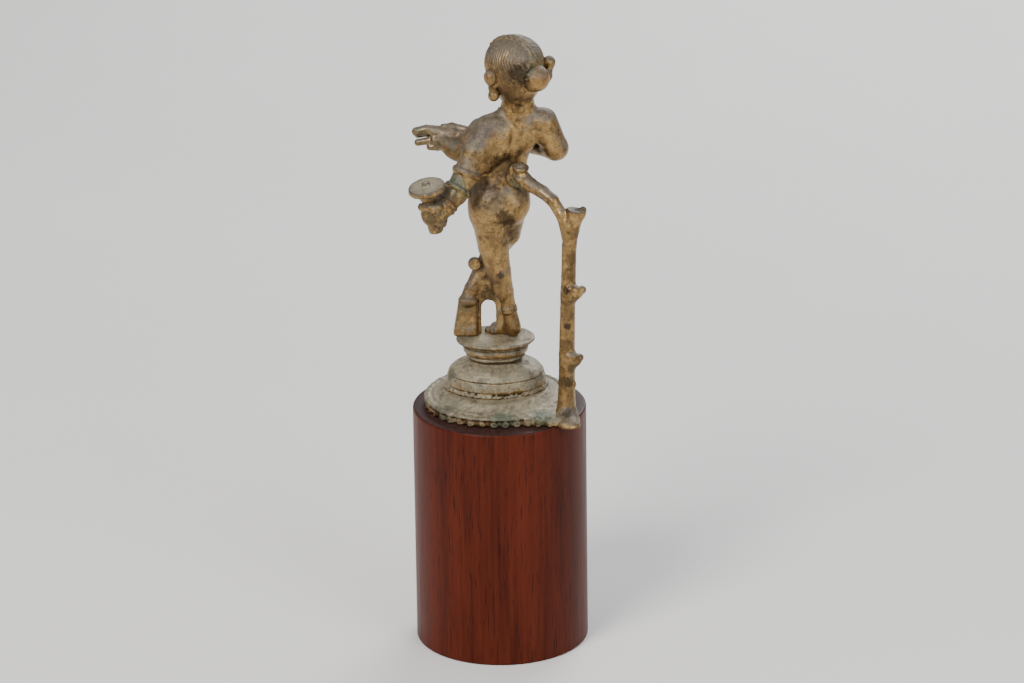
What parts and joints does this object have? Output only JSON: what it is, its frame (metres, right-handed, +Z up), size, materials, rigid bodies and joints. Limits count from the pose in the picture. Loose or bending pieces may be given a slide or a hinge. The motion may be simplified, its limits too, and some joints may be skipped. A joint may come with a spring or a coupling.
{
  "type": "cast brass figure on wood base",
  "caption": "Cast-brass cross-legged four-armed figure with drum and lopped tree support, on a lotus plinth, scalloped foot plate and turned hardwood cylinder.",
  "frame": {"origin": "centre of the wood base's underside, on the surface it stands on", "axes": "+Z up; the figure's chest faces -Y; +X is the figure's left"},
  "size_m": [0.0898, 0.0888, 0.3231],
  "materials": {
    "dark_hardwood": "satin oiled deep red-brown hardwood, upright grain",
    "zinc_steel": "plain zinc-plated steel",
    "base_brass": "aged cast brass, grey-brown patina with verdigris in the recesses",
    "figure_brass": "handled cast brass, golden brown where worn, grey-brown patina on top",
    "tree_brass": "handled cast brass with pits and dark spots"
  },
  "bodies": {
    "root": {"wood_base": "dark_hardwood", "threaded_rod": "zinc_steel", "rod_washer": "zinc_steel", "rod_nut": "zinc_steel", "locating_pins": "zinc_steel", "foot_plate": "base_brass", "bead_ring": "base_brass", "bell_tier": "base_brass", "lotus_plinth": "base_brass", "torso": "figure_brass", "standing_leg": "figure_brass", "crossed_leg": "figure_brass", "leg_web": "figure_brass", "knee_knob": "figure_brass", "anklet": "figure_brass", "front_sash": "figure_brass", "arm_back_left": "figure_brass", "arm_front_left": "figure_brass", "arm_back_right": "figure_brass", "arm_front_right": "figure_brass", "elbow_band": "figure_brass", "forearm_band": "figure_brass", "wrist_rings": "figure_brass", "hand_drum": "figure_brass", "head": "figure_brass", "hair_bun": "figure_brass", "ear_ornament_right": "figure_brass", "ear_ornament_left": "figure_brass", "necklace": "figure_brass", "tree_trunk": "tree_brass", "tree_stubs": "tree_brass", "tree_branch": "tree_brass", "branch_rings": "tree_brass"}
  },
  "joints": []
}
